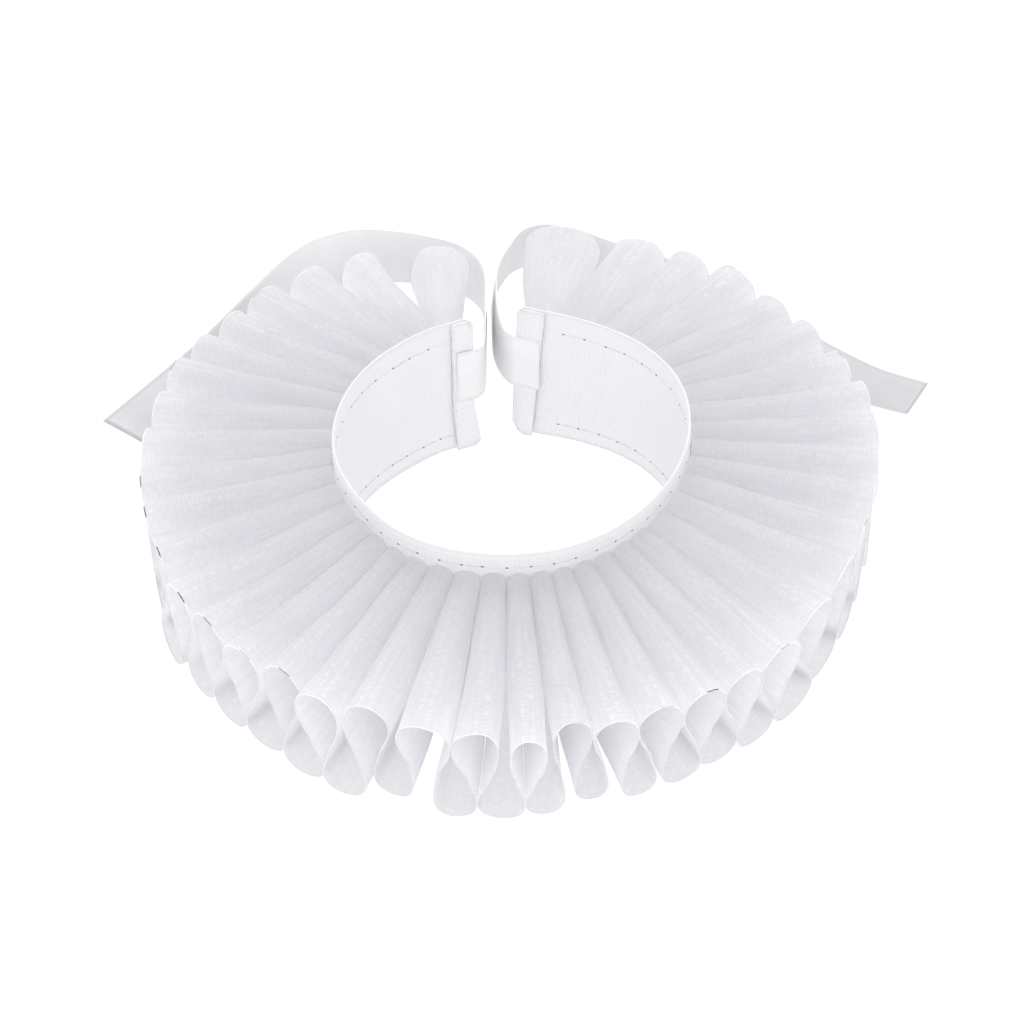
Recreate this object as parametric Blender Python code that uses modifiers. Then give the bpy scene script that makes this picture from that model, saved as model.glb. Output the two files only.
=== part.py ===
# Ruff collar: a pleated organza ruffle on a grosgrain neckband with two satin ties.
# It stands on the neckband's lower edge. The front is at -Y, the opening at +Y.

import math
from collections import namedtuple

import bmesh
import bpy
from mathutils import Vector

MM = 0.001

# Cloth and seams
WALL = 1.0 * MM
SEAM_GAP = 0.3 * MM
LAYER = WALL + SEAM_GAP

# Turns are in degrees clockwise from the middle of the back, seen from above.

# Neckband, measured to the middle of its wall. Each end is turned under in a hem,
# which runs back from the end in the direction given: 1 is clockwise.
BAND_HEIGHT = 50.0 * MM
BandEnd = namedtuple("BandEnd", "turn direction hem")
RIGHT_END = BandEnd(3.0, 1, 8.0 * MM)
LEFT_END = BandEnd(345.4, -1, 6.2 * MM)
BAND_STEP = 3.0
HEM_STEPS = 3
FOLD_STEPS = 4

# Ruffle, measured to the middle of its wall
NECK_MIDDLE = 24.3 * MM
NECK_SWELL = 19.2 * MM
EDGE_MIDDLE = 20.3 * MM
EDGE_SWELL = 17.7 * MM
NECK_SWING = 0.23
EDGE_SWING = 0.312
POINTS_PER_PLEAT = 16
DEPTH_STATIONS = (0.0, 0.45, 1.0)
NECK_EVENNESS = 0.6
NECK_EVENING_FOLDS = 3
NECK_END_MARGIN = 1.2
NECK_LEAST_STEP = 3.4

# Ties, each sewn over the whole length of its hem
TIE_WIDTH = 19.5 * MM
TIE_STEP = 4.0 * MM
TIE_LEAST_STEPS = 2
TIE_ROOT_HEIGHT = 29.2 * MM
TIE_ROOT_STEPS = 3

# Middle of the neck ring, set so that the collar's bounding box is centred on the origin
RING_CENTRE = Vector((-2.0 * MM, -0.81 * MM, 0.0))

# Rim and foot are the band's distance from the neck's axis at its upper and lower edge,
# in millimetres.
NeckRow = namedtuple("NeckRow", "turn rim foot")
NECK_ROWS = [
    NeckRow(0, 55.6, 55.6),
    NeckRow(11, 53.2, 53.2),
    NeckRow(30, 53.0, 53.8),
    NeckRow(50, 54.0, 54.8),
    NeckRow(68, 54.0, 54.2),
    NeckRow(86, 52.6, 52.6),
    NeckRow(110, 51.2, 51.2),
    NeckRow(133, 51.4, 51.4),
    NeckRow(151, 52.4, 52.4),
    NeckRow(168, 53.5, 53.5),
    NeckRow(183, 53.9, 53.9),
    NeckRow(199, 54.4, 54.4),
    NeckRow(216, 54.5, 54.5),
    NeckRow(235, 53.2, 53.2),
    NeckRow(264, 52.4, 52.4),
    NeckRow(282, 51.4, 51.2),
    NeckRow(300, 50.6, 49.4),
    NeckRow(320, 50.3, 48.4),
    NeckRow(338, 50.4, 49.2),
    NeckRow(352, 51.0, 50.4),
]

# One row for each pleat: its upper fold, then the lower fold that follows it.
# Reach is the distance of the outer edge from the neck's axis in millimetres.
PleatRow = namedtuple("PleatRow", "turn reach low_turn low_reach")
START_LOW_FOLD = PleatRow(None, None, 1.2, 106.0)
PLEAT_ROWS = [
    PleatRow(9.2, 108.8, 16.4, 106.0),
    PleatRow(22.7, 109.3, 26.8, 107.5),
    PleatRow(30.6, 110.2, 34.5, 108.0),
    PleatRow(38.6, 111.5, 43.6, 108.0),
    PleatRow(49.0, 109.4, 52.8, 107.5),
    PleatRow(56.6, 110.0, 61.4, 107.5),
    PleatRow(66.2, 110.4, 69.8, 108.0),
    PleatRow(73.4, 111.2, 77.4, 108.0),
    PleatRow(81.5, 110.0, 85.5, 107.5),
    PleatRow(89.5, 108.4, 93.2, 106.5),
    PleatRow(97.0, 107.2, 101.4, 105.0),
    PleatRow(105.9, 106.4, 110.2, 104.5),
    PleatRow(115.2, 106.2, 120.0, 104.5),
    PleatRow(126.0, 107.0, 131.3, 106.8),
    PleatRow(136.4, 109.4, 139.8, 106.9),
    PleatRow(143.2, 109.8, 146.7, 106.2),
    PleatRow(150.4, 110.0, 153.9, 107.6),
    PleatRow(157.8, 109.9, 160.9, 107.9),
    PleatRow(164.7, 110.8, 167.8, 105.8),
    PleatRow(171.2, 108.6, 174.6, 109.3),
    PleatRow(177.6, 114.6, 181.2, 110.6),
    PleatRow(184.4, 112.0, 188.6, 111.0),
    PleatRow(192.9, 112.0, 197.4, 107.0),
    PleatRow(202.0, 109.2, 204.6, 111.6),
    PleatRow(208.9, 111.6, 212.2, 110.4),
    PleatRow(216.6, 108.0, 220.0, 108.6),
    PleatRow(223.4, 110.0, 227.6, 108.7),
    PleatRow(232.4, 109.3, 235.6, 108.6),
    PleatRow(239.0, 110.3, 244.2, 109.6),
    PleatRow(249.4, 108.8, 254.2, 107.0),
    PleatRow(258.6, 108.9, 262.0, 107.0),
    PleatRow(265.6, 109.2, 270.0, 107.5),
    PleatRow(274.9, 109.5, 279.4, 107.5),
    PleatRow(283.8, 109.5, 288.4, 108.0),
    PleatRow(292.9, 110.6, 296.2, 108.0),
    PleatRow(299.6, 109.6, 303.0, 107.0),
    PleatRow(306.8, 108.2, 310.6, 106.5),
    PleatRow(314.6, 109.0, 319.2, 106.0),
    PleatRow(324.0, 107.4, 328.6, 105.0),
    PleatRow(333.4, 105.4, 338.6, 101.0),
    PleatRow(346.0, 100.4, 353.0, 86.0),
]

# Middle line of each tie, in millimetres from the neck's axis and the floor.
# Lean is in degrees: 0 stands on edge, 90 lies flat with its upper edge outermost.
TieRow = namedtuple("TieRow", "x y z lean")
TIE_RIGHT_ROWS = [
    TieRow(1.2, 53.0, 29.2, 0),
    TieRow(-0.4, 54.2, 29.2, 0),
    TieRow(-1.9, 56.4, 29.1, 0),
    TieRow(-3.4, 60.4, 28.9, -2),
    TieRow(-4.8, 68.0, 28.3, -4),
    TieRow(-5.3, 78.0, 27.3, -4),
    TieRow(-5.3, 88.0, 26.4, -5),
    TieRow(-4.4, 96.0, 26.0, -10),
    TieRow(-1.7, 103.2, 26.0, -12),
    TieRow(1.8, 109.8, 26.0, -12),
    TieRow(8.0, 113.4, 25.8, -11),
    TieRow(14.6, 113.8, 25.0, -9),
    TieRow(22.0, 112.8, 23.2, -4),
    TieRow(29.0, 110.8, 20.8, 0),
    TieRow(38.0, 109.4, 17.4, 6),
    TieRow(52.0, 106.4, 12.6, 24),
    TieRow(66.0, 101.6, 7.8, 50),
    TieRow(80.0, 94.6, 3.8, 74),
    TieRow(96.5, 85.0, 1.6, 91),
    TieRow(112.4, 73.6, 1.7, 96),
    TieRow(127.9, 66.2, 2.0, 98),
]
TIE_LEFT_ROWS = [
    TieRow(-10.4, 47.2, 29.2, 0),
    TieRow(-9.0, 48.9, 29.1, 0),
    TieRow(-8.2, 52.0, 29.0, 0),
    TieRow(-7.9, 60.0, 28.8, 0),
    TieRow(-8.0, 72.0, 28.2, 0),
    TieRow(-8.1, 84.0, 27.0, 0),
    TieRow(-10.2, 95.2, 25.0, 0),
    TieRow(-16.4, 103.0, 24.2, 1),
    TieRow(-25.6, 107.0, 24.2, 2),
    TieRow(-36.0, 109.0, 24.4, 4),
    TieRow(-49.0, 108.8, 24.4, 12),
    TieRow(-60.5, 105.2, 22.8, 24),
    TieRow(-68.6, 101.2, 18.8, 39),
    TieRow(-79.4, 94.8, 10.4, 61),
    TieRow(-92.6, 83.8, 3.6, 80),
    TieRow(-106.4, 69.2, 1.0, 88),
    TieRow(-120.2, 51.4, 0.6, 90),
]

WHITE_ORGANZA = ("organza", (0.80, 0.79, 0.83), 0.45)
WHITE_GROSGRAIN = ("grosgrain", (0.86, 0.86, 0.88), 0.70)
WHITE_SATIN = ("satin", (0.85, 0.85, 0.85), 0.30)


def clear_scene():
    for old in list(bpy.data.objects):
        bpy.data.objects.remove(old, do_unlink=True)


def blend(first, second, share):
    return first + (second - first) * share


def curve_through(keys, values, key):
    """A smooth value at key, on a curve through every pair of key and value."""
    last = len(keys) - 1
    left = 0
    while left < last - 1 and keys[left + 1] <= key:
        left += 1
    slopes = []
    for index in (left, left + 1):
        before = max(index - 1, 0)
        after = min(index + 1, last)
        slopes.append((values[after] - values[before]) / (keys[after] - keys[before]))
    span = keys[left + 1] - keys[left]
    share = (key - keys[left]) / span
    rise = values[left + 1] - values[left]
    bend_start = slopes[0] * span - rise
    bend_end = rise - slopes[1] * span
    straight = values[left] + rise * share
    return straight + share * (1 - share) * (bend_start * (1 - share) + bend_end * share)


def around(turn, radius, height):
    """The point at a turn and radius in millimetres round the neck's axis."""
    angle = math.radians(turn)
    flat = Vector((math.sin(angle), math.cos(angle), 0.0)) * radius * MM
    return RING_CENTRE + flat + Vector((0.0, 0.0, height))


def neck_radius(turn, height=BAND_HEIGHT / 2):
    """The band's distance from the neck's axis, in millimetres."""
    turns = [row.turn for row in NECK_ROWS]
    foot = curve_through(turns, [row.foot for row in NECK_ROWS], turn)
    rim = curve_through(turns, [row.rim for row in NECK_ROWS], turn)
    return blend(foot, rim, height / BAND_HEIGHT)


def sheet_object(name, rows, finish, collection):
    """A wall of even thickness over a grid of points, given as rows of equal length."""
    mesh = bpy.data.meshes.new(name)
    build = bmesh.new()
    grid = [[build.verts.new(point) for point in row] for row in rows]
    for near, far in zip(grid, grid[1:]):
        for index in range(len(near) - 1):
            build.faces.new((near[index], near[index + 1], far[index + 1], far[index]))
    build.normal_update()
    build.to_mesh(mesh)
    build.free()
    mesh.shade_smooth()
    obj = bpy.data.objects.new(name, mesh)
    collection.objects.link(obj)
    obj.data.materials.append(cloth_material(*finish))
    wall = obj.modifiers.new("wall", "SOLIDIFY")
    wall.thickness = WALL
    wall.offset = 0.0
    wall.use_even_offset = True
    return obj


def cloth_material(name, colour, roughness):
    material = bpy.data.materials.get(name)
    if material is None:
        material = bpy.data.materials.new(name)
        material.use_nodes = True
        shader = material.node_tree.nodes["Principled BSDF"]
        shader.inputs["Base Color"].default_value = (*colour, 1.0)
        shader.inputs["Roughness"].default_value = roughness
        shader.inputs["Metallic"].default_value = 0.0
    return material


def hem_turns(end, steps):
    """Evenly spaced turns from a hem's inner edge up to the last one before the band's end."""
    length = math.degrees(end.hem / (neck_radius(end.turn) * MM))
    return [end.turn + end.direction * length * (1 - step / steps) for step in range(steps)]


def folded_end(end):
    """Turns and insets of the band's middle line from a hem's inner edge round its fold."""
    line = [(turn, -LAYER) for turn in hem_turns(end, HEM_STEPS)]
    for step in range(FOLD_STEPS + 1):
        swing = math.pi * step / FOLD_STEPS
        past = math.degrees(math.sin(swing) * LAYER / 2 / (neck_radius(end.turn) * MM))
        line.append((end.turn - end.direction * past, -LAYER / 2 * (1 + math.cos(swing))))
    return line


def neckband_plan():
    """Turns and insets of the whole middle line, from above: hem, fold, ring, fold, hem."""
    steps = round((LEFT_END.turn - RIGHT_END.turn) / BAND_STEP)
    ring = []
    for step in range(1, steps):
        ring.append((blend(RIGHT_END.turn, LEFT_END.turn, step / steps), 0.0))
    return folded_end(RIGHT_END) + ring + folded_end(LEFT_END)[::-1]


def build_neckband(collection):
    rows = []
    for height in (0.0, BAND_HEIGHT):
        row = []
        for turn, inset in neckband_plan():
            row.append(around(turn, neck_radius(turn, height) + inset / MM, height))
        rows.append(row)
    return sheet_object("neckband", rows, WHITE_GROSGRAIN, collection)


def fold_knots():
    """Turn and reach of every fold at the outer edge, lower and upper in turn."""
    turns = [START_LOW_FOLD.low_turn]
    reaches = [START_LOW_FOLD.low_reach]
    for row in PLEAT_ROWS:
        turns += [row.turn, row.low_turn]
        reaches += [row.reach, row.low_reach]
    return turns, reaches


def neck_turns(edge_turns):
    """The folds' turns along the neckband, more even than at the outer edge."""
    last = len(edge_turns) - 1
    turns = []
    for index, own in enumerate(edge_turns):
        window = min(NECK_EVENING_FOLDS, index, last - index)
        near = edge_turns[index - window:index + window + 1]
        turns.append(blend(own, sum(near) / len(near), NECK_EVENNESS))
    turns[0] = RIGHT_END.turn + NECK_END_MARGIN
    turns[-1] = LEFT_END.turn - NECK_END_MARGIN
    squeezed = []
    for index, turn in enumerate(turns):
        least = turns[0] + index * NECK_LEAST_STEP
        most = turns[-1] - (last - index) * NECK_LEAST_STEP
        squeezed.append(min(max(turn, least), most))
    return squeezed


def fold_pitches(turns):
    """For each stretch between two folds, the smaller pitch of like folds at its ends."""
    last = len(turns) - 1
    pitches = []
    for knot in range(last + 1):
        low = max(knot - 1, 0)
        high = min(knot + 1, last)
        pitches.append((turns[high] - turns[low]) * 2 / (high - low))
    return [min(pair) for pair in zip(pitches, pitches[1:])]


def build_ruffle(collection):
    edge_turns, reaches = fold_knots()
    inner_turns = neck_turns(edge_turns)
    edge_pitches = fold_pitches(edge_turns)
    inner_pitches = fold_pitches(inner_turns)
    last = len(edge_turns) - 1
    knots = list(range(last + 1))
    per_knot = POINTS_PER_PLEAT // 2
    rows = []
    for depth in DEPTH_STATIONS:
        middle = blend(NECK_MIDDLE, EDGE_MIDDLE, depth)
        swell = blend(NECK_SWELL, EDGE_SWELL, depth)
        swing = blend(NECK_SWING, EDGE_SWING, depth)
        row = []
        for step in range(last * per_knot + 1):
            place = step / per_knot
            stretch = min(step // per_knot, last - 1)
            phase = math.pi * (place - 1)
            inner = curve_through(knots, inner_turns, place)
            outer = curve_through(knots, edge_turns, place)
            turn = blend(inner, outer, depth)
            pitch = blend(inner_pitches[stretch], edge_pitches[stretch], depth)
            turn += swing * pitch * math.sin(2 * phase)
            height = middle + swell * math.cos(phase)
            seam = neck_radius(turn, height) + (WALL / 2 + 2 * SEAM_GAP) / MM
            radius = blend(seam, curve_through(knots, reaches, place), depth)
            row.append(around(turn, radius, height))
        rows.append(row)
    return sheet_object("ruffle", rows, WHITE_ORGANZA, collection)


def tie_stations(table, end):
    """Middle points, headings and leans along a tie, from its hem to its free end."""
    points = []
    for turn in hem_turns(end, TIE_ROOT_STEPS) + [end.turn]:
        points.append(around(turn, neck_radius(turn) - 2 * LAYER / MM, TIE_ROOT_HEIGHT))
    leans = [0.0] * len(points)
    for row in table:
        points.append(RING_CENTRE + Vector((row.x, row.y, row.z)) * MM)
        leans.append(row.lean)
    lengths = [0.0]
    for here, there in zip(points, points[1:]):
        lengths.append(lengths[-1] + (there - here).length)
    places = [0.0]
    for near, far in zip(lengths, lengths[1:]):
        count = max(TIE_LEAST_STEPS, math.ceil((far - near) / TIE_STEP))
        places += [blend(near, far, step / count) for step in range(1, count + 1)]
    columns = [[point[axis] for point in points] for axis in range(3)]
    middles = []
    for place in places:
        middles.append(Vector([curve_through(lengths, column, place) for column in columns]))
    stations = []
    for index, place in enumerate(places):
        before = middles[max(index - 1, 0)]
        after = middles[min(index + 1, len(places) - 1)]
        lean = math.radians(curve_through(lengths, leans, place))
        stations.append((middles[index], (after - before).normalized(), lean))
    return stations


def build_tie(name, table, end, collection):
    rows = []
    for side in (-0.5, 0.5):
        row = []
        for middle, heading, lean in tie_stations(table, end):
            outward = Vector((-heading.y, heading.x, 0.0)).normalized() * end.direction
            across = Vector((0.0, 0.0, math.cos(lean))) + outward * math.sin(lean)
            row.append(middle + across * TIE_WIDTH * side)
        rows.append(row)
    return sheet_object(name, rows, WHITE_SATIN, collection)


def main():
    clear_scene()
    collection = bpy.data.collections.new("ruff_collar")
    bpy.context.scene.collection.children.link(collection)
    build_neckband(collection)
    build_ruffle(collection)
    build_tie("tie_right", TIE_RIGHT_ROWS, RIGHT_END, collection)
    build_tie("tie_left", TIE_LEFT_ROWS, LEFT_END, collection)


main()
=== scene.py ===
import math

import bmesh
import bpy
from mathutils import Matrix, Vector, noise


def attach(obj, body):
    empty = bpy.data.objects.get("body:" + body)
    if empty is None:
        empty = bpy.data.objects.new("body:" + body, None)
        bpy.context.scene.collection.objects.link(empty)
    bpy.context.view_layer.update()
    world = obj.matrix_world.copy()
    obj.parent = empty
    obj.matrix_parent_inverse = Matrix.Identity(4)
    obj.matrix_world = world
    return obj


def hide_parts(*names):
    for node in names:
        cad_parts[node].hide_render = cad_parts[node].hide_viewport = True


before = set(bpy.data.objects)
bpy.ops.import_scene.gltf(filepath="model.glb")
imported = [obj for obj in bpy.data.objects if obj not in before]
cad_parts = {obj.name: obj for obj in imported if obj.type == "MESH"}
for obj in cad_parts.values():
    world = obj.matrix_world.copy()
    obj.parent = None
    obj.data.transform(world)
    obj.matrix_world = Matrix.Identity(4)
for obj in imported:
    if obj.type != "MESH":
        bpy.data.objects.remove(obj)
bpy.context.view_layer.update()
mm = 0.001

# The collar stands with its front at -Y and its opening at +Y. Turns are in degrees
# clockwise from the middle of the back, seen from above. Lengths are in mm.
collar = {
    "centreX": -2.0,          # neck axis
    "centreY": -0.81,
    "bandHeight": 50.0,
    "rightEnd": 3.0,          # turn of each end of the band
    "leftEnd": 345.4,
    "rightHem": 8.0,          # how far each end is turned under
    "leftHem": 6.2,
    "layer": 1.3,             # from one layer of cloth to the next
}

# turn, then the band's distance from the axis at its rim and at its foot
neckRows = [
    (0, 55.6, 55.6), (11, 53.2, 53.2), (30, 53.0, 53.8), (50, 54.0, 54.8),
    (68, 54.0, 54.2), (86, 52.6, 52.6), (110, 51.2, 51.2), (133, 51.4, 51.4),
    (151, 52.4, 52.4), (168, 53.5, 53.5), (183, 53.9, 53.9), (199, 54.4, 54.4),
    (216, 54.5, 54.5), (235, 53.2, 53.2), (264, 52.4, 52.4), (282, 51.4, 51.2),
    (300, 50.6, 49.4), (320, 50.3, 48.4), (338, 50.4, 49.2), (352, 51.0, 50.4),
]

# turn and reach of each pleat's upper fold, then of the lower fold after it
pleatRows = [
    (9.2, 108.8, 16.4, 106.0), (22.7, 109.3, 26.8, 107.5), (30.6, 110.2, 34.5, 108.0),
    (38.6, 111.5, 43.6, 108.0), (49.0, 109.4, 52.8, 107.5), (56.6, 110.0, 61.4, 107.5),
    (66.2, 110.4, 69.8, 108.0), (73.4, 111.2, 77.4, 108.0), (81.5, 110.0, 85.5, 107.5),
    (89.5, 108.4, 93.2, 106.5), (97.0, 107.2, 101.4, 105.0), (105.9, 106.4, 110.2, 104.5),
    (115.2, 106.2, 120.0, 104.5), (126.0, 107.0, 131.3, 106.8), (136.4, 109.4, 139.8, 106.9),
    (143.2, 109.8, 146.7, 106.2), (150.4, 110.0, 153.9, 107.6), (157.8, 109.9, 160.9, 107.9),
    (164.7, 110.8, 167.8, 105.8), (171.2, 108.6, 174.6, 109.3), (177.6, 114.6, 181.2, 110.6),
    (184.4, 112.0, 188.6, 111.0), (192.9, 112.0, 197.4, 107.0), (202.0, 109.2, 204.6, 111.6),
    (208.9, 111.6, 212.2, 110.4), (216.6, 108.0, 220.0, 108.6), (223.4, 110.0, 227.6, 108.7),
    (232.4, 109.3, 235.6, 108.6), (239.0, 110.3, 244.2, 109.6), (249.4, 108.8, 254.2, 107.0),
    (258.6, 108.9, 262.0, 107.0), (265.6, 109.2, 270.0, 107.5), (274.9, 109.5, 279.4, 107.5),
    (283.8, 109.5, 288.4, 108.0), (292.9, 110.6, 296.2, 108.0), (299.6, 109.6, 303.0, 107.0),
    (306.8, 108.2, 310.6, 106.5), (314.6, 109.0, 319.2, 106.0), (324.0, 107.4, 328.6, 105.0),
    (333.4, 105.4, 338.6, 101.0), (346.0, 100.4, 353.0, 86.0),
]
startFold = (1.2, 106.0)      # the lower fold before the first pleat

# x, y, z of each tie's middle line from the axis and the floor, and its lean: 0 stands on
# edge, 90 lies flat with its upper edge outermost
tieRightRows = [
    (1.2, 53.0, 29.2, 0), (-0.4, 54.2, 29.2, 0), (-1.9, 56.4, 29.1, 0),
    (-3.4, 60.4, 28.9, -2), (-4.8, 68.0, 28.3, -4), (-5.3, 78.0, 27.3, -4),
    (-5.3, 88.0, 26.4, -5), (-4.4, 96.0, 26.0, -10), (-1.7, 103.2, 26.0, -12),
    (1.8, 109.8, 26.0, -12), (8.0, 113.4, 25.8, -11), (14.6, 113.8, 25.0, -9),
    (22.0, 112.8, 23.2, -4), (29.0, 110.8, 20.8, 0), (38.0, 109.4, 17.4, 6),
    (52.0, 106.4, 12.6, 24), (66.0, 101.6, 7.8, 50), (80.0, 94.6, 3.8, 74),
    (96.5, 85.0, 1.6, 91), (112.4, 73.6, 1.7, 96), (127.9, 66.2, 2.0, 98),
]
tieLeftRows = [
    (-10.4, 47.2, 29.2, 0), (-9.0, 48.9, 29.1, 0), (-8.2, 52.0, 29.0, 0),
    (-7.9, 60.0, 28.8, 0), (-8.0, 72.0, 28.2, 0), (-8.1, 84.0, 27.0, 0),
    (-10.2, 95.2, 25.0, 0), (-16.4, 103.0, 24.2, 1), (-25.6, 107.0, 24.2, 2),
    (-36.0, 109.0, 24.4, 4), (-49.0, 108.8, 24.4, 12), (-60.5, 105.2, 22.8, 24),
    (-68.6, 101.2, 18.8, 39), (-79.4, 94.8, 10.4, 61), (-92.6, 83.8, 3.6, 80),
    (-106.4, 69.2, 1.0, 88), (-120.2, 51.4, 0.6, 90),
]


def blend(first, second, share):
    return first + (second - first) * share


def ease(value):
    value = min(max(value, 0.0), 1.0)
    return value * value * (3 - 2 * value)


# a smooth value at key, on a curve through every pair of key and value
def curveThrough(keys, values, key):
    last = len(keys) - 1
    left = 0
    while left < last - 1 and keys[left + 1] <= key:
        left += 1
    slopes = []
    for index in (left, left + 1):
        before = max(index - 1, 0)
        after = min(index + 1, last)
        slopes.append((values[after] - values[before]) / (keys[after] - keys[before]))
    span = keys[left + 1] - keys[left]
    share = (key - keys[left]) / span
    rise = values[left + 1] - values[left]
    bendStart = slopes[0] * span - rise
    bendEnd = rise - slopes[1] * span
    straight = values[left] + rise * share
    return straight + share * (1 - share) * (bendStart * (1 - share) + bendEnd * share)


def around(turn, radius, height):
    angle = math.radians(turn)
    x = collar["centreX"] + radius * math.sin(angle)
    y = collar["centreY"] + radius * math.cos(angle)
    return Vector((x, y, height)) * mm


def neckRadius(turn, height=25.0):
    turns = [row[0] for row in neckRows]
    rim = curveThrough(turns, [row[1] for row in neckRows], turn)
    foot = curveThrough(turns, [row[2] for row in neckRows], turn)
    return blend(foot, rim, height / collar["bandHeight"])


def degreesFor(length, turn):
    return math.degrees(length / neckRadius(turn))


# how strongly a soft mark of the given half width is felt at a distance from its middle
def softMark(distance, width):
    return math.exp(-(distance / width) ** 2)


camera = {
    "elevation": 44.1,
    "distance": 1.1,
    "lens": 127.97, "sensor": 36.0,
    "shiftX": 0.0007, "shiftY": 0.0367,
}


def addCamera():
    tilt = math.radians(camera["elevation"])
    away = camera["distance"]
    centre = Vector((collar["centreX"], collar["centreY"], 0.0)) * mm
    place = centre + Vector((0.0, -away * math.cos(tilt), away * math.sin(tilt)))
    bpy.ops.object.camera_add(location=place, rotation=(math.pi / 2 - tilt, 0.0, 0.0))
    shot = bpy.context.object
    shot.name = "photoCamera"
    shot.data.lens = camera["lens"]
    shot.data.sensor_width = camera["sensor"]
    shot.data.shift_x = camera["shiftX"]
    shot.data.shift_y = camera["shiftY"]
    bpy.context.scene.camera = shot


bpy.ops.object.select_all(action="DESELECT")
addCamera()
print("camera set")


def finishPiece(piece, thickness=None):
    bpy.ops.object.select_all(action="DESELECT")
    bpy.context.view_layer.objects.active = piece
    piece.select_set(True)
    if thickness is not None:
        shell = piece.modifiers.new("shell", "SOLIDIFY")
        shell.thickness = thickness * mm
        shell.offset = 0.0
        bpy.ops.object.modifier_apply(modifier="shell")
    bpy.ops.object.shade_smooth()
    piece.select_set(False)


# A sheet over rows of points: a shell, or without a thickness a single sheer layer. Flats
# holds each point's place on the flat cloth.
def clothFromRows(name, rows, flats, thickness, marks=None):
    mesh = bpy.data.meshes.new(name)
    work = bmesh.new()
    flatMap = work.loops.layers.uv.new("flat")
    markLayer = work.verts.layers.float_vector.new("mark") if marks else None
    grid = [[work.verts.new(point) for point in row] for row in rows]
    if marks:
        for vertRow, markRow in zip(grid, marks):
            for vert, mark in zip(vertRow, markRow):
                vert[markLayer] = mark
    for j in range(len(rows) - 1):
        for i in range(len(rows[0]) - 1):
            corners = [(j, i), (j, i + 1), (j + 1, i + 1), (j + 1, i)]
            face = work.faces.new([grid[a][b] for a, b in corners])
            for loop, (a, b) in zip(face.loops, corners):
                loop[flatMap].uv = (flats[a][b][0] * mm, flats[a][b][1] * mm)
    work.normal_update()
    work.to_mesh(mesh)
    work.free()
    piece = bpy.data.objects.new(name, mesh)
    bpy.context.scene.collection.objects.link(piece)
    finishPiece(piece, thickness)
    return piece


# a thin closed thread along each path of points; marks gives a vector for each point
def threadAlong(name, paths, width, sides, marks):
    mesh = bpy.data.meshes.new(name)
    work = bmesh.new()
    flatMap = work.loops.layers.uv.new("flat")
    markLayer = work.verts.layers.float_vector.new("mark")
    for path, markRow in zip(paths, marks):
        rings, lengths = [], []
        side = None
        run = 0.0
        for i, point in enumerate(path):
            ahead = (path[min(i + 1, len(path) - 1)] - path[max(i - 1, 0)]).normalized()
            if side is None:
                side = ahead.cross(Vector((0.0, 0.0, 1.0)))
                if side.length < 0.2:
                    side = ahead.cross(Vector((0.0, 1.0, 0.0)))
            side = (side - ahead * side.dot(ahead)).normalized()
            up = side.cross(ahead)
            if i:
                run += (point - path[i - 1]).length
            lengths.append(run)
            ring = []
            for k in range(sides):
                angle = 2 * math.pi * k / sides
                offset = (side * math.cos(angle) + up * math.sin(angle)) * width / 2
                vert = work.verts.new(point + offset * mm)
                vert[markLayer] = markRow[i]
                ring.append(vert)
            rings.append(ring)
        for i in range(len(rings) - 1):
            for k in range(sides):
                corners = ((i, k), (i, k + 1), (i + 1, k + 1), (i + 1, k))
                face = work.faces.new([rings[a][b % sides] for a, b in corners])
                for loop, (a, b) in zip(face.loops, corners):
                    loop[flatMap].uv = (lengths[a], b / sides * width * mm)
        work.faces.new(rings[0][::-1])
        work.faces.new(rings[-1])
    work.normal_update()
    work.to_mesh(mesh)
    work.free()
    piece = bpy.data.objects.new(name, mesh)
    bpy.context.scene.collection.objects.link(piece)
    finishPiece(piece)
    return piece


bandSizes = {
    "thickness": 0.7,
    "step": 1.2,              # degrees between columns
    "heightSteps": 22,
    "rightCorner": 4.6,       # rounding of the right end's lower corner
    "otherCorner": 1.6,
    "hemSteps": 7,
    "foldSteps": 6,
    "cornerShare": 0.8,       # of a rounded corner that rises from the foot or rim
    "edgeRoll": 0.16, "rollWidth": 1.2,
    "bendHeight": 24.0,       # half height of a soft bend
    "rightLean": 1.8,         # how much further each end reaches at its foot
    "leftLean": 2.2, "leftLeanFrom": 0.62,
    "leanOver": 20.0,         # length of band that leans with it
    "hemTaper": 3.4,          # how much narrower the right hem is at its foot
}

# soft bends of the ribbon: turn, how far out the middle is pushed, half width in degrees,
# and the height at which the bend is strongest
bandBends = [
    (14.0, 0.22, 3.2, 34.0), (27.0, -0.20, 5.0, 10.0), (44.0, 0.26, 6.0, 30.0),
    (71.0, -0.18, 5.0, 42.0), (96.0, 0.20, 6.5, 16.0), (124.0, -0.16, 4.5, 36.0),
    (147.0, 0.18, 5.5, 20.0), (176.0, -0.14, 6.0, 40.0), (205.0, 0.18, 5.0, 14.0),
    (229.0, -0.20, 5.5, 30.0), (251.0, 0.16, 6.0, 44.0), (276.0, -0.24, 5.0, 12.0),
    (297.0, 0.24, 6.5, 26.0), (316.0, -0.22, 4.5, 38.0), (331.0, 0.42, 4.0, 22.0),
    (338.5, -0.36, 2.6, 30.0),
]


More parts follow.
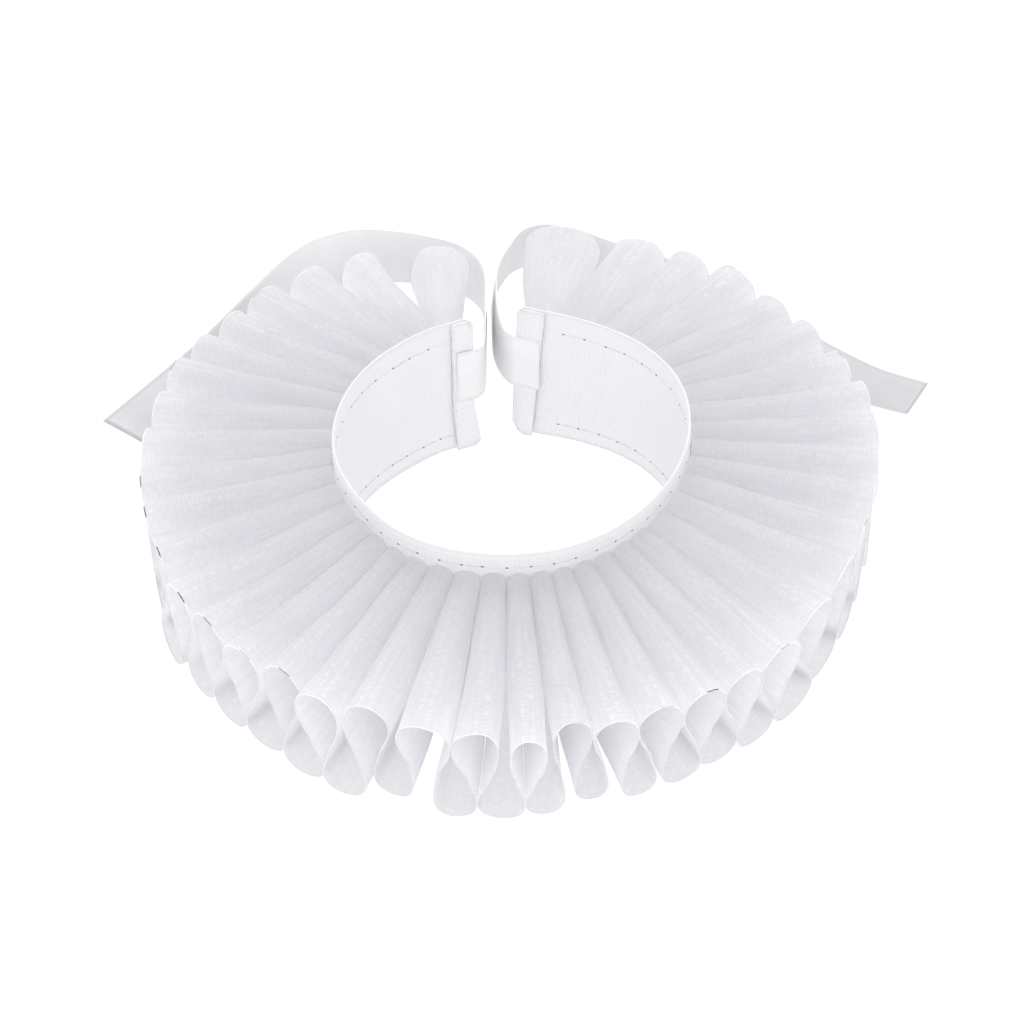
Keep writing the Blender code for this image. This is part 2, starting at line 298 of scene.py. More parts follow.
# turn, inset, distance from the nearer end and taper of each column, from hem to hem
def bandColumns():
    def foldedEnd(endTurn, direction, hem):
        line = []
        taper = bandSizes["hemTaper"] if direction > 0 else 0.0
        for step in range(bandSizes["hemSteps"]):
            share = 1 - step / bandSizes["hemSteps"]
            turn = endTurn + direction * degreesFor(hem, endTurn) * share
            line.append((turn, -collar["layer"], hem * share, degreesFor(taper, endTurn) * share))
        for step in range(bandSizes["foldSteps"] + 1):
            swing = math.pi * step / bandSizes["foldSteps"]
            past = degreesFor(math.sin(swing) * collar["layer"] / 2, endTurn)
            inset = -collar["layer"] / 2 * (1 + math.cos(swing))
            line.append((endTurn - direction * past, inset, 0.0, 0.0))
        return line

    right = foldedEnd(collar["rightEnd"], 1, collar["rightHem"])
    left = foldedEnd(collar["leftEnd"], -1, collar["leftHem"])[::-1]
    steps = round((collar["leftEnd"] - collar["rightEnd"]) / bandSizes["step"])
    ring = []
    for step in range(1, steps):
        turn = blend(collar["rightEnd"], collar["leftEnd"], step / steps)
        nearest = min(turn - collar["rightEnd"], collar["leftEnd"] - turn)
        ring.append((turn, 0.0, math.radians(nearest) * neckRadius(turn), 0.0))
    return right + ring + left


# degrees by which the ribbon near its ends reaches further towards its foot
def endLean(turn, height):
    low = 1 - height / collar["bandHeight"]
    over = degreesFor(bandSizes["leanOver"], turn)
    right = max(1 - abs(turn - collar["rightEnd"]) / over, 0.0) ** 2
    left = max(1 - abs(collar["leftEnd"] - turn) / over, 0.0) ** 2
    start = bandSizes["leftLeanFrom"]
    lean = bandSizes["leftLean"] * left * ease((low - start) / (1 - start))
    return degreesFor(lean - bandSizes["rightLean"] * right * low, turn)


def cornerRise(distance, radius):
    if distance >= radius:
        return 0.0
    return radius - math.sqrt(max(radius ** 2 - (radius - distance) ** 2, 0.0))


def bandPush(turn, height):
    push = 0.0
    for middle, out, width, strongest in bandBends:
        level = softMark(height - strongest, bandSizes["bendHeight"])
        push += out * softMark(turn - middle, width) * level
    return push


def buildBand():
    columns = bandColumns()
    half = len(columns) // 2
    rows, flats = [], []
    tall = collar["bandHeight"]
    for j in range(bandSizes["heightSteps"] + 1):
        share = j / bandSizes["heightSteps"]
        row, flat = [], []
        along = 0.0
        for i, (turn, inset, distance, taper) in enumerate(columns):
            lowCorner = bandSizes["rightCorner"] if i < half else bandSizes["otherCorner"]
            foot = cornerRise(distance, lowCorner) * bandSizes["cornerShare"]
            rim = tall - cornerRise(distance, bandSizes["otherCorner"]) * bandSizes["cornerShare"]
            height = blend(foot, rim, share)
            edge = min(height - foot, rim - height)
            roll = bandSizes["edgeRoll"] * softMark(edge, bandSizes["rollWidth"])
            radius = neckRadius(turn, height) + inset + bandPush(turn, height) - roll
            leaned = turn + endLean(turn, height) - taper * (1 - height / tall)
            point = around(leaned, radius, height)
            if row:
                along += (point - row[-1]).length / mm
            row.append(point)
            flat.append((along, height))
        rows.append(row)
        flats.append(flat)
    return clothFromRows("neckbandCloth", rows, flats, bandSizes["thickness"])


bandCloth = buildBand()
print("neckband made,", len(bandCloth.data.polygons), "faces")


# Rows of running stitches: side 1 is the band's outer face, -1 its inner face. A stitch
# dips into the ribbon at both ends, where a dark dot of painted shade stands for the needle hole's
# shadow.
stitchSizes = {
    "thread": 0.24,
    "dot": 0.62,
    "dotLength": 0.9,
    "steps": 8,
    "threadShare": 0.92,      # of a stitch's length that its thread takes
    "dip": 0.22,              # how far the thread's ends sink in
    "dotEnds": -0.26, "dotMiddle": -0.19,
    "unevenLength": 0.22, "wander": 0.35,
    "rows": [
        {"side": 1, "height": 45.2, "from": 6.0, "to": 342.0, "length": 6.7, "lift": 0.10},
        {"side": -1, "height": 42.4, "from": 17.5, "to": 335.0, "length": 6.9, "lift": 0.08},
        {"side": -1, "height": 5.2, "from": 16.0, "to": 334.0, "length": 6.6, "lift": 0.08},
    ],
}

hemStitchSizes = {
    "thread": 0.30,
    "fromEdge": 0.9,          # from the hem's inner edge
    "length": 1.25,
    "pitch": 2.35,
    "low": 4.0, "high": 47.0,
    "steps": 4,
    "slant": 0.25,            # degrees from its foot to its top
    "lift": 0.10, "sink": 0.20,
    "unevenness": 0.25, "unevenPitch": 0.15,
}


def onBand(turn, height, side, lift):
    radius = neckRadius(turn, height) + bandPush(turn, height)
    return around(turn, radius + side * (bandSizes["thickness"] / 2 + lift), height)


def buildStitches():
    sizes = stitchSizes
    threads, threadMarks, dots, dotMarks = [], [], [], []
    for number, line in enumerate(sizes["rows"]):
        turn = line["from"]
        count = 0
        while turn < line["to"]:
            own = noise.noise(Vector((count * 1.7, number * 5.0, 2.0)))
            span = degreesFor(line["length"] * (1 + sizes["unevenLength"] * own), turn)
            aside = noise.noise(Vector((count * 0.9, 3.0, number * 4.0)))
            height = line["height"] + sizes["wander"] * aside
            path = []
            for k in range(sizes["steps"] + 1):
                share = k / sizes["steps"]
                lift = line["lift"] - sizes["dip"] * (1 - ease(4 * min(share, 1 - share)))
                at = turn + span * sizes["threadShare"] * share
                path.append(onBand(at, height, line["side"], lift))
            threads.append(path)
            threadMarks.append([(0.0, own, 0.0)] * len(path))
            reach = degreesFor(sizes["dotLength"] * (0.75 + 0.5 * abs(own)), turn)
            dot = []
            for k in range(4):
                lift = sizes["dotEnds"] if k in (0, 3) else sizes["dotMiddle"]
                dot.append(onBand(turn + reach * (k / 3 - 0.5), height, line["side"], lift))
            dots.append(dot)
            dotMarks.append([(1.0, own, 0.0)] * len(dot))
            turn += span
            count += 1
    thread = threadAlong("bandStitches", threads, sizes["thread"], 5, threadMarks)
    dot = threadAlong("bandStitchHoleShades", dots, sizes["dot"], 8, dotMarks)
    return thread, dot


def buildHemStitches():
    paths, marks = [], []
    sizes = hemStitchSizes
    for endTurn, direction, hem in ((collar["rightEnd"], 1, collar["rightHem"]),
                                    (collar["leftEnd"], -1, collar["leftHem"])):
        height = sizes["low"]
        count = 0
        while height < sizes["high"]:
            own = noise.noise(Vector((count * 1.3, endTurn, 9.0)))
            low = 1 - height / collar["bandHeight"]
            taper = bandSizes["hemTaper"] * low if direction > 0 else 0.0
            inwards = hem - sizes["fromEdge"] - sizes["unevenness"] * own - taper
            turn = endTurn + direction * degreesFor(inwards, endTurn) + endLean(endTurn, height)
            path = []
            for k in range(sizes["steps"] + 1):
                share = k / sizes["steps"]
                lift = sizes["lift"] - sizes["sink"] * abs(2 * share - 1)
                at = turn + direction * sizes["slant"] * share
                high = height + sizes["length"] * share
                path.append(onBand(at, high, -1, lift + collar["layer"]))
            paths.append(path)
            marks.append([(0.0, own, 1.0)] * len(path))
            height += sizes["pitch"] * (1 + sizes["unevenPitch"] * own)
            count += 1
    return threadAlong("hemStitches", paths, sizes["thread"], 6, marks)


bandStitches, bandHoleShades = buildStitches()
hemStitches = buildHemStitches()
print("stitches made")


ruffleSizes = {
    "pointsPerPleat": 36,
    "depthSteps": 26,
    "neckMiddle": 24.3, "neckSwell": 19.2,
    "edgeMiddle": 20.3, "edgeSwell": 17.7,
    "touch": 0.09,            # left between two folds that meet
    "touchAtEdge": 108.0, "touchAtNeck": 54.0,
    "swungAt": 0.268,         # share of a stretch at which a fold is widest
    "mostSwing": 0.9,         # as a share of its stretch
    "neckFlatness": 0.42,     # below 1 the folds are squarer
    "crestFlatness": 1.2, "footFlatness": 0.8,
    "flatUntil": 0.6,         # share of the depth by which they are round
    "openingOver": 0.45,      # share of the depth over which a gap opens
    "backOpening": 0.12, "backOpeningFrom": 0.5,
    "neckEvenness": 0.6, "eveningFolds": 3,
    "endMargin": 1.2, "leastStep": 3.4,
    "seamOff": 0.75,          # from the middle of the band's wall
    "hemWidth": 0.30,
    "drift": 0.35,            # degrees that a fold wanders on its way out
    "unevenness": 0.14,
    "creaseEase": 0.14,       # share of the depth over which a crease begins and ends
    "neckCalm": 0.12, "edgeCalm": 0.04, "leftAtEdge": 0.3,
    "leastGlint": 0.22,       # of the painted glints on the folds at the sides
    "flatDepth": 55.0,        # of the strip when flat
}

# Soft troughs and ridges: pleat, distance from its upper fold, share of the depth where
# it starts and ends, how far the cloth is pushed out, and its half width.
ruffleCreases = [
    (0, -2.6, 0.05, 0.50, -0.9, 2.2), (0, 4.4, 0.30, 0.95, -0.8, 3.2), (1, 1.2, 0.00, 0.40, -0.6, 1.8),
    (2, -3.8, 0.25, 0.80, -0.6, 2.6), (3, 0.4, 0.45, 0.90, -0.5, 2.2), (4, 3.4, 0.05, 0.55, -0.6, 2),
    (5, -1.6, 0.10, 0.45, -0.6, 1.6), (6, 4.6, 0.35, 0.95, -0.7, 2.8), (7, -4.2, 0.20, 0.70, -0.6, 2.4),
    (8, 1.8, 0.05, 0.40, -0.5, 1.6), (9, -2.2, 0.50, 0.95, 0.6, 2.4), (10, 3, 0.15, 0.70, -0.7, 2),
    (11, -5, 0.30, 0.90, -0.7, 3), (12, 0.8, 0.00, 0.35, -0.6, 1.7), (13, 3.8, 0.40, 0.95, -0.7, 2.6),
    (14, -1.4, 0.15, 0.60, -0.5, 1.5), (15, 2.4, 0.45, 0.90, 0.5, 2), (16, -3.4, 0.05, 0.50, -0.5, 2),
    (17, 1.4, 0.30, 0.75, -0.4, 1.6), (18, -2, 0.55, 0.95, 0.5, 2.2), (19, 3.2, 0.10, 0.60, -0.6, 1.8),
    (20, -1.2, 0.00, 0.45, -0.5, 1.4), (21, 2, 0.40, 0.95, 0.5, 2.2), (22, -3.6, 0.20, 0.75, -0.6, 2.4),
    (23, 0.6, 0.05, 0.40, -0.5, 1.5), (24, -2.6, 0.35, 0.85, -0.6, 2), (25, 3.6, 0.10, 0.55, -0.5, 2),
    (26, -0.8, 0.50, 0.95, 0.5, 2.4), (27, 2.8, 0.25, 0.80, -0.6, 2.2), (28, -4, 0.05, 0.50, -0.6, 2.2),
    (29, 1.6, 0.10, 0.45, -0.6, 1.8), (30, -2.4, 0.40, 0.95, -0.6, 2.4), (31, 4, 0.15, 0.65, -0.6, 2.4),
    (32, -1, 0.00, 0.35, -0.5, 1.5), (33, 3, 0.45, 0.95, -0.6, 2.6), (34, -3.2, 0.20, 0.75, -0.6, 2.2),
    (35, 1, 0.05, 0.45, -0.5, 1.6), (36, 4.8, 0.35, 0.90, -0.7, 2.8), (37, -2.8, 0.10, 0.60, -0.5, 2.2),
    (38, 2.2, 0.40, 0.95, -0.6, 2.4), (39, -3.4, 0.05, 0.55, -0.7, 2.2), (40, 2.6, 0.15, 0.80, -1, 3.2),
]

# Gaps at a fold (even ones lie below): share of its neighbours' swelling that is lost, and
# the depth where the gap begins.
openFolds = {
    2: (0.20, 0.60), 35: (0.16, 0.55), 37: (0.34, 0.45), 39: (0.30, 0.45), 40: (0.25, 0.55),
    42: (0.34, 0.52), 45: (0.55, 0.10), 46: (0.20, 0.60), 57: (0.20, 0.5), 78: (0.30, 0.40),
    80: (0.55, 0.30),
}

# pleats whose clear edge thread gets a painted dark reflection near the top, and how strongly
hemDarkReflections = {
    14: 0.5, 16: 1.0, 17: 0.3, 19: 0.2, 25: 0.7, 26: 0.4, 27: 0.8, 28: 1.0, 29: 1.0, 30: 1.0, 31: 0.9,
    3: 0.4, 6: 0.5, 11: 0.4, 34: 0.6, 37: 0.4,
}
farFromFold = 99.0            # mm, for the thread down both cut ends


def foldKnots():
    turns, reaches = [startFold[0]], [startFold[1]]
    for turn, reach, lowTurn, lowReach in pleatRows:
        turns += [turn, lowTurn]
        reaches += [reach, lowReach]
    return turns, reaches


# the folds' turns along the neckband, more even than at the outer edge
def neckTurns(edgeTurns):
    last = len(edgeTurns) - 1
    turns = []
    for index, own in enumerate(edgeTurns):
        window = min(ruffleSizes["eveningFolds"], index, last - index)
        near = edgeTurns[index - window:index + window + 1]
        turns.append(blend(own, sum(near) / len(near), ruffleSizes["neckEvenness"]))
    turns[0] = collar["rightEnd"] + ruffleSizes["endMargin"]
    turns[-1] = collar["leftEnd"] - ruffleSizes["endMargin"]
    squeezed = []
    for index, turn in enumerate(turns):
        least = turns[0] + index * ruffleSizes["leastStep"]
        most = turns[-1] - (last - index) * ruffleSizes["leastStep"]
        squeezed.append(min(max(turn, least), most))
    return squeezed


# For each stretch between two folds, how far its wall swings out in its upper and in its
# lower half, so that neighbouring folds nearly touch.
def foldSwings(turns, margin):
    swings = []
    for knot in range(len(turns) - 1):
        step = turns[knot + 1] - turns[knot]
        pair = []
        for fold in (knot + knot % 2, knot + 1 - knot % 2):
            low, high = max(fold - 1, 0), min(fold + 1, len(turns) - 1)
            halfPitch = (turns[high] - turns[low]) / (high - low)
            wanted = halfPitch - step * ruffleSizes["swungAt"] - margin
            pair.append(min(wanted, step * ruffleSizes["mostSwing"]))
        swings.append(pair)
    return swings


# share of the swelling that is left beside a fold at a depth
def openingAt(fold, turn, depth):
    back = ruffleSizes["backOpening"] * max(math.cos(math.radians(turn)), 0.0) * (1 - fold % 2)
    lost, start = openFolds.get(fold, (back, ruffleSizes["backOpeningFrom"]))
    return 1 - lost * ease((depth - start) / ruffleSizes["openingOver"])


def creasePush(creases, distance, depth):
    push = 0.0
    over = ruffleSizes["creaseEase"]
    for offset, start, end, out, width in creases:
        within = ease((depth - start) / over + 0.5) * ease((end - depth) / over + 0.5)
        push += out * within * softMark(distance - offset, width)
    return push


def buildRuffle():
    sizes = ruffleSizes
    edgeTurns, reaches = foldKnots()
    innerTurns = neckTurns(edgeTurns)
    edgeSwings = foldSwings(edgeTurns, math.degrees(sizes["touch"] / sizes["touchAtEdge"]))
    innerSwings = foldSwings(innerTurns, math.degrees(sizes["touch"] / sizes["touchAtNeck"]))
    last = len(edgeTurns) - 1
    knots = list(range(last + 1))
    perKnot = sizes["pointsPerPleat"] // 2
    columns = []
    for step in range(last * perKnot + 1):
        place = step / perKnot
        stretch = min(step // perKnot, last - 1)
        columns.append((
            place, math.pi * (place - 1), curveThrough(knots, innerTurns, place),
            curveThrough(knots, edgeTurns, place), curveThrough(knots, reaches, place), stretch,
        ))
    creases = {}
    for pleat, offset, start, end, out, width in ruffleCreases:
        creases.setdefault(pleat, []).append((offset, start, end, out, width))
    rows, marks, flats = [], [], []
    for j in range(sizes["depthSteps"] + 1):
        depth = j / sizes["depthSteps"]
        middle = blend(sizes["neckMiddle"], sizes["edgeMiddle"], depth)
        swell = blend(sizes["neckSwell"], sizes["edgeSwell"], depth)
        amid = math.sin(depth * math.pi)
        rounded = ease(depth / sizes["flatUntil"])
        flatness = [
            blend(sizes["neckFlatness"], sizes[key], rounded)
            for key in ("crestFlatness", "footFlatness")]
        plain = []
        for place, phase, inner, outer, reach, stretch in columns:
            drift = sizes["drift"] * amid * noise.noise(Vector((place * 0.2, depth * 2.2, 7.0)))
            wave = math.cos(phase)
            half = 0 if wave > 0 else 1
            swing = blend(innerSwings[stretch][half], edgeSwings[stretch][half], depth)
            beside = stretch + (stretch + half) % 2
            swing *= openingAt(beside, edgeTurns[beside], depth)
            turn = blend(inner, outer, depth) + drift + swing * math.sin(2 * phase)
            height = middle + swell * math.copysign(abs(wave) ** flatness[half], wave)
            seam = neckRadius(turn, height) + sizes["seamOff"]
            plain.append((turn, blend(seam, reach, depth), height))
        # how far each point lies along the row, then from its pleat's upper fold
        points = [around(*spot) for spot in plain]
        along = [0.0]
        for here, there in zip(points, points[1:]):
            along.append(along[-1] + (there - here).length / mm)
        row, markRow = [], []
        for i, column in enumerate(columns):
            place = column[0]
            pleat = min(math.floor(place / 2), len(pleatRows) - 1)
            distance = along[i] - along[(2 * pleat + 1) * perKnot]
            turn, radius, height = plain[i]
            way = points[min(i + 1, len(points) - 1)] - points[max(i - 1, 0)]
            angle = math.radians(turn)
            flank = math.atan2(way.z, way.dot(Vector((math.cos(angle), -math.sin(angle), 0.0))))
            push = creasePush(creases.get(pleat, []), distance, depth)
            ripple = noise.noise(Vector((place * 1.7, depth * 5.0, 11.0)))
            push += sizes["unevenness"] * amid * ripple
            push *= ease(depth / sizes["neckCalm"])
            push *= ease((1 - depth) / sizes["edgeCalm"] + sizes["leftAtEdge"])
            turned = turn - math.degrees(math.sin(flank) * push / radius)
            row.append(around(turned, radius, height + math.cos(flank) * push))
            # the third mark is the strength of the painted glints, strongest on pleats that face front
            # or back
            facing = math.cos(math.radians(pleatRows[pleat][0])) ** 2
            own = 0.5 + 0.5 * noise.noise(Vector((pleat * 1.9, 4.0, 1.0)))
            paintedGlint = blend(sizes["leastGlint"], 1.0, facing) * (0.65 + 0.5 * own)
            markRow.append((abs(distance), depth, paintedGlint))
        rows.append(row)
        marks.append(markRow)
        flats.append(along)
    # the flat strip is as long as the outer edge all the way in; its gathers take it up
    strip = [
        [(x, j / sizes["depthSteps"] * sizes["flatDepth"]) for x in flats[-1]]
        for j in range(len(rows))]
    cloth = clothFromRows("ruffleCloth", rows, strip, None, marks)
    hemPaths = [rows[-1], [row[0] for row in rows], [row[-1] for row in rows]]
    atEnds = [(farFromFold, 0.0, 0.0)] * len(rows)
    hemMarks = [[], atEnds, atEnds]
    for i in range(len(columns)):
        pleat = min(i // (2 * perKnot), len(pleatRows) - 1)
        distance = flats[-1][i] - flats[-1][(2 * pleat + 1) * perKnot]
        hemMarks[0].append((distance, hemDarkReflections.get(pleat, 0.0), 0.0))
    hem = threadAlong("ruffleHem", hemPaths, sizes["hemWidth"], 6, hemMarks)
    return cloth, hem


ruffleCloth, ruffleHem = buildRuffle()
print("ruffle made,", len(ruffleCloth.data.polygons), "faces")


tieSizes = {
    "width": 19.5,
    "thickness": 0.4,
    "step": 1.5,
    "acrossSteps": 12,
    "rootHeight": 29.2,
    "rootInset": 1.95,        # from the middle of the band's wall
    "rootSteps": 3,
    "rootShare": 0.8,         # of the hem that it covers
    "cup": 0.35,              # how far the ribbon's middle bows out
    "freeOver": 20.0,         # length over which it comes free of the hem
    "tailOver": 12.0, "leftAtTail": 0.4,
    "creaseShare": 0.8,       # of the creases' listed depth
}

# Soft creases of the ribbon: distance along it, share of the width (-0.5 to 0.5), how far
# it is pushed, half length, half width as a share.
tieCreases = [
    (22.0, 0.20, 0.35, 7.0, 0.22), (41.0, -0.25, -0.40, 12.0, 0.20), (60.0, 0.10, 0.30, 9.0, 0.30),
    (78.0, -0.10, 0.45, 8.0, 0.24), (97.0, 0.28, -0.40, 11.0, 0.18), (118.0, -0.22, 0.40, 10.0, 0.26),
    (139.0, 0.05, -0.30, 14.0, 0.30), (158.0, 0.24, 0.30, 9.0, 0.20), (181.0, -0.20, -0.20, 10.0, 0.22),
]


def tieStations(table, endTurn, direction, hem):
    points, leans = [], []
    for step in range(tieSizes["rootSteps"] + 1):
        covered = hem * tieSizes["rootShare"] * (1 - step / tieSizes["rootSteps"])
        turn = endTurn + direction * degreesFor(covered, endTurn)
        radius = neckRadius(turn) - tieSizes["rootInset"]
        points.append(around(turn, radius, tieSizes["rootHeight"]) / mm)
        leans.append(0.0)
    for x, y, z, lean in table:
        points.append(Vector((collar["centreX"] + x, collar["centreY"] + y, z)))
        leans.append(lean)
    lengths = [0.0]
    for here, there in zip(points, points[1:]):
        lengths.append(lengths[-1] + (there - here).length)
    count = math.ceil(lengths[-1] / tieSizes["step"])
    columns = [[point[axis] for point in points] for axis in range(3)]
    places = [lengths[-1] * step / count for step in range(count + 1)]
    middles = []
    for place in places:
        middles.append(Vector([curveThrough(lengths, column, place) for column in columns]))
    stations = []
    for index, place in enumerate(places):
        before, after = middles[max(index - 1, 0)], middles[min(index + 1, count)]
        lean = math.radians(curveThrough(lengths, leans, place))
        stations.append((place, middles[index], (after - before).normalized(), lean))
    return stations


def buildTie(name, table, endTurn, direction, hem):
    stations = tieStations(table, endTurn, direction, hem)
    whole = stations[-1][0]
    rows, flats, marks = [], [], []
    for j in range(tieSizes["acrossSteps"] + 1):
        share = j / tieSizes["acrossSteps"] - 0.5
        row, flat, markRow = [], [], []
        for place, middle, heading, lean in stations:
            outward = Vector((-heading.y, heading.x, 0.0)).normalized() * direction
            across = Vector((0.0, 0.0, math.cos(lean))) + outward * math.sin(lean)
            facing = across.cross(heading).normalized()
            free = ease((place - hem) / tieSizes["freeOver"]) * tieSizes["creaseShare"]
            free *= ease((whole - place) / tieSizes["tailOver"] + tieSizes["leftAtTail"])
            push = tieSizes["cup"] * (1 - 4 * share * share)
            for along, aside, out, long, wide in tieCreases:
                push += out * softMark(place - along, long) * softMark(share - aside, wide)
            point = middle + across * tieSizes["width"] * share + facing * push * free
            row.append(point * mm)
            flat.append((place, share * tieSizes["width"]))
            # the mark says how flat the ribbon lies, which sets the satin's painted shade
            markRow.append((abs(facing.z), 0.0, 0.0))
        rows.append(row)
        flats.append(flat)
        marks.append(markRow)
    return clothFromRows(name, rows, flats, tieSizes["thickness"], marks)


tieRight = buildTie("tieRightSatin", tieRightRows, collar["rightEnd"], 1, collar["rightHem"])
tieLeft = buildTie("tieLeftSatin", tieLeftRows, collar["leftEnd"], -1, collar["leftHem"])
print("ties made")


# a socket that can be reckoned with
class Wire:
    def __init__(self, tree, socket):
        self.tree, self.socket = tree, socket

    def join(self, operation, first, second):
        node = self.tree.nodes.new("ShaderNodeMath")
        node.operation = operation
        for slot, value in zip(node.inputs, (first, second)):
            if isinstance(value, Wire):
                self.tree.links.new(value.socket, slot)
            else:
                slot.default_value = value
        return Wire(self.tree, node.outputs[0])

    def __add__(self, other):
        return self.join("ADD", self, other)

    def __radd__(self, other):
        return self.join("ADD", other, self)

    def __sub__(self, other):
        return self.join("SUBTRACT", self, other)

    def __rsub__(self, other):
        return self.join("SUBTRACT", other, self)

    def __mul__(self, other):
        return self.join("MULTIPLY", self, other)

    def __rmul__(self, other):
        return self.join("MULTIPLY", other, self)

    def __truediv__(self, other):
        return self.join("DIVIDE", self, other)

    def __rtruediv__(self, other):
        return self.join("DIVIDE", other, self)

    def least(self, other):
        return self.join("MINIMUM", self, other)

    def wave(self):
        return self.join("SINE", self, 0.0)

    def size(self):
        return self.join("ABSOLUTE", self, 0.0)


# one material and the nodes that make it
class Finish:
    def __init__(self, name):
        self.material = bpy.data.materials.new(name)
        self.material.use_nodes = True
        self.tree = self.material.node_tree
        self.shader = self.tree.nodes["Principled BSDF"]
        self.output = self.tree.nodes["Material Output"]

    def node(self, kind, settings=None, sockets=None, out=0):
        node = self.tree.nodes.new(kind)
        for key, value in (settings or {}).items():
            setattr(node, key, value)
        for key, value in (sockets or {}).items():
            self.fill(node.inputs[key], value)
        return Wire(self.tree, node.outputs[out])

    def fill(self, socket, value):
        if isinstance(value, Wire):
            self.tree.links.new(value.socket, socket)
        else:
            socket.default_value = value

    def surface(self, **sockets):
        for key, value in sockets.items():
            self.fill(self.shader.inputs[key.replace("_", " ")], value)

    def parts(self, vector):
        first = self.node("ShaderNodeSeparateXYZ", {}, {0: vector})
        return [Wire(self.tree, out) for out in first.socket.node.outputs]

    # place on the flat cloth in metres: both together, along it, across it
    def flatPlace(self):
        uv = self.node("ShaderNodeUVMap", {"uv_map": "flat"})
        along, across, _up = self.parts(uv)
        return uv, along, across

    def mark(self):
        return self.parts(self.node("ShaderNodeAttribute", {"attribute_name": "mark"}, out=1))

    def cloud(self, vector, scale, detail=2.0, roughness=0.5):
        stretched = self.node("ShaderNodeMapping", {}, {"Vector": vector, "Scale": scale})
        return self.node("ShaderNodeTexNoise", {"noise_dimensions": "2D"}, {
            "Vector": stretched, "Scale": 1.0, "Detail": detail, "Roughness": roughness})

    # a ridge every pitch metres along a place
    def ribs(self, place, pitch):
        return (place * (2 * math.pi / pitch)).wave()

    # eased from 0 at low to 1 at high
    def between(self, value, low, high):
        return self.node("ShaderNodeMapRange", {"interpolation_type": "SMOOTHSTEP"}, {
            "Value": value, "From Min": low, "From Max": high, "To Min": 0.0, "To Max": 1.0})

    def tint(self, factor, first, second):
        return self.node("ShaderNodeMix", {"data_type": "RGBA"}, {0: factor, 6: first, 7: second}, out=2)

    def bump(self, height, strength, distance):
        return self.node("ShaderNodeBump", {}, {
            "Height": height, "Strength": strength, "Distance": distance})

    # part of the light goes through and leaves on the far side
    def letThrough(self, share, colour):
        through = self.node("ShaderNodeBsdfTranslucent", {}, {"Color": colour})
        front = Wire(self.tree, self.shader.outputs[0])
        mixed = self.node("ShaderNodeMixShader", {}, {0: share, 1: front, 2: through})
        self.fill(self.output.inputs["Surface"], mixed)


organzaLook = {
    "shade": (0.876, 0.869, 0.891, 1.0),
    "light": (0.902, 0.895, 0.916, 1.0),
    "wall": (0.972, 0.966, 0.982, 1.0),
    "low": (0.800, 0.795, 0.818, 1.0),
    "paintedGlint": (1.0, 1.0, 1.0, 1.0),
    "thread": (0.58, 0.575, 0.60, 1.0),
    "streakAt": 1.35,         # mm to either side of an upper fold
    "streakWidth": 0.75,
    "alpha": 0.86,
    "throughShare": 0.70,
    "weft": 0.00046, "warp": 0.00052,
}


def organzaFinish():
    look = organzaLook
    f = Finish("organzaCloth")
    uv, along, across = f.flatPlace()
    distance, depth, strength = f.mark()
    # painted highlights: short crosswise glints in two lines along each upper fold
    line = 1.0 - ((distance - look["streakAt"]) / look["streakWidth"]).size()
    ticks = f.cloud(uv, (420.0, 1500.0, 1.0), 0.0)
    patches = f.cloud(uv, (70.0, 110.0, 1.0), 0.0)
    threads = f.cloud(uv, (1250.0, 70.0, 1.0), 0.0)
    glints = f.between(ticks, 0.44, 0.60) * f.between(patches, 0.22, 0.48)
    paintedStreakGlint = f.between(line, 0.0, 0.6) * glints * strength * f.between(depth, 0.04, 0.16)
    weave = f.ribs(across, look["weft"]) + f.ribs(along, look["warp"])
    ground = f.tint(f.between(patches, 0.3, 0.7), look["shade"], look["light"])
    # painted highlights: the glints, and a faint scatter of painted sparkle over the whole cloth
    paintedSheen = (paintedStreakGlint + f.between(ticks, 0.58, 0.80) * 0.18).least(1.0)
    # two layers lie close together near the neckband and between the folds; there, and on pleats that
    # face front or back, the cloth is painted whiter as painted light that stands for light passing
    # through the sheer layers
    wall = f.between(distance, 4.0, 10.0) * 0.85 + f.between(strength, 0.25, 0.95) * 0.6
    inner = 1.0 - f.between(depth, 0.05, 0.95)
    ground = f.tint((wall + inner).least(1.0), ground, look["wall"])
    # painted shade: the lower folds are painted darker
    ground = f.tint(f.between(distance, 30.0, 41.0), ground, look["low"])
    grain = f.between(threads * 0.55 + ticks * 0.45, 0.40, 0.62)
    ground = f.tint((1.0 - grain) * 0.10, ground, look["thread"])
    colour = f.tint(paintedSheen, ground, look["paintedGlint"])
    f.surface(
        Base_Color=colour, Roughness=0.42 - paintedStreakGlint * 0.20,
        Normal=f.bump(weave, 0.30, 0.00003), Alpha=look["alpha"])
    f.letThrough(look["throughShare"], colour)
    f.material.use_transparent_shadow = False
    return f.material


hemLook = {
    "side": (0.80, 0.795, 0.82, 1.0), "crestHighlight": (0.98, 0.98, 0.99, 1.0),
    "dark": (0.03, 0.03, 0.04, 1.0),
}


def hemFinish():
    f = Finish("organzaHem")
    distance, dark, _rest = f.mark()
    # painted reflections on the clear edge thread: a painted highlight near each upper fold, a darker
    # tone down the walls, and short painted dark arcs on the listed pleats
    darkReflectionArc = f.between(distance, -4.2, -3.2) * (1.0 - f.between(distance, -0.2, 0.8))
    crestHighlight = 1.0 - f.between(distance.size(), 5.0, 9.0)
    colour = f.tint(crestHighlight, hemLook["side"], hemLook["crestHighlight"])
    colour = f.tint(darkReflectionArc * dark, colour, hemLook["dark"])
    f.surface(Base_Color=colour, Roughness=0.22, Coat_Weight=0.4, Coat_Roughness=0.1)
    return f.material


grosgrainLook = {
    "shade": (0.880, 0.877, 0.900, 1.0), "light": (0.900, 0.897, 0.915, 1.0),
    "grooveShade": (0.80, 0.80, 0.83, 1.0),
    "rib": 0.00068,
}


